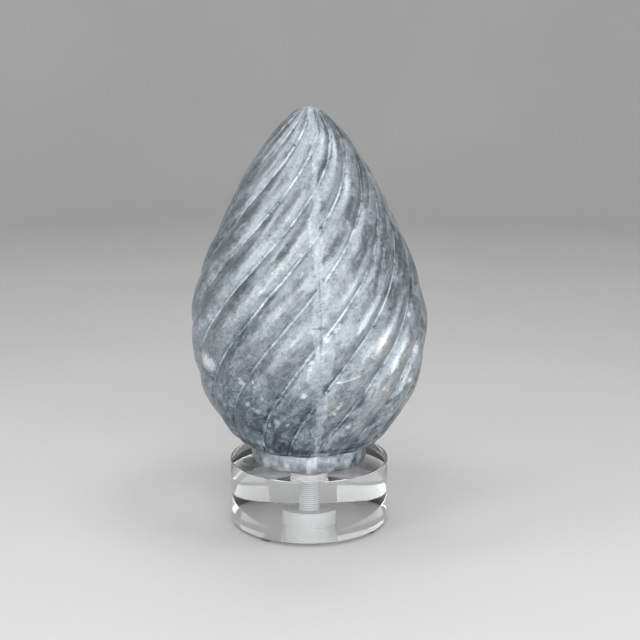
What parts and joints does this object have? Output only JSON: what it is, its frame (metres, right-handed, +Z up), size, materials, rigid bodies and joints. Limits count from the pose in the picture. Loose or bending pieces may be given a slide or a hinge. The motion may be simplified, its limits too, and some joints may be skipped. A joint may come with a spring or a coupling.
{
  "type": "spiral-lobed roof finial",
  "caption": "Teardrop roof finial with rounded lobes turning round it in a right-hand spiral and a round foot collar, bolted to a clear acrylic disc on bumper feet.",
  "frame": {"origin": "on the finial's axis, at the height of the soles of the bumper feet", "axes": "+Z up along the finial's axis to its tip; -Y is the front, with the long seam, and +X is the right of one who looks at the front"},
  "size_m": [0.148, 0.148, 0.2668],
  "materials": {
    "zinc": "weathered zinc, mottled blue-grey with pale oxide, worn bright on the crease edges",
    "acrylic": "clear polished acrylic, frosted in the counterbore",
    "bolt_steel": "dull zinc-plated steel",
    "bumper": "clear soft plastic"
  },
  "bodies": {
    "root": {"finial_body": "zinc", "acrylic_disc": "acrylic", "mounting_bolt": "bolt_steel", "bumper_foot_1": "bumper", "bumper_foot_2": "bumper", "bumper_foot_3": "bumper", "bumper_foot_4": "bumper"}
  },
  "joints": []
}
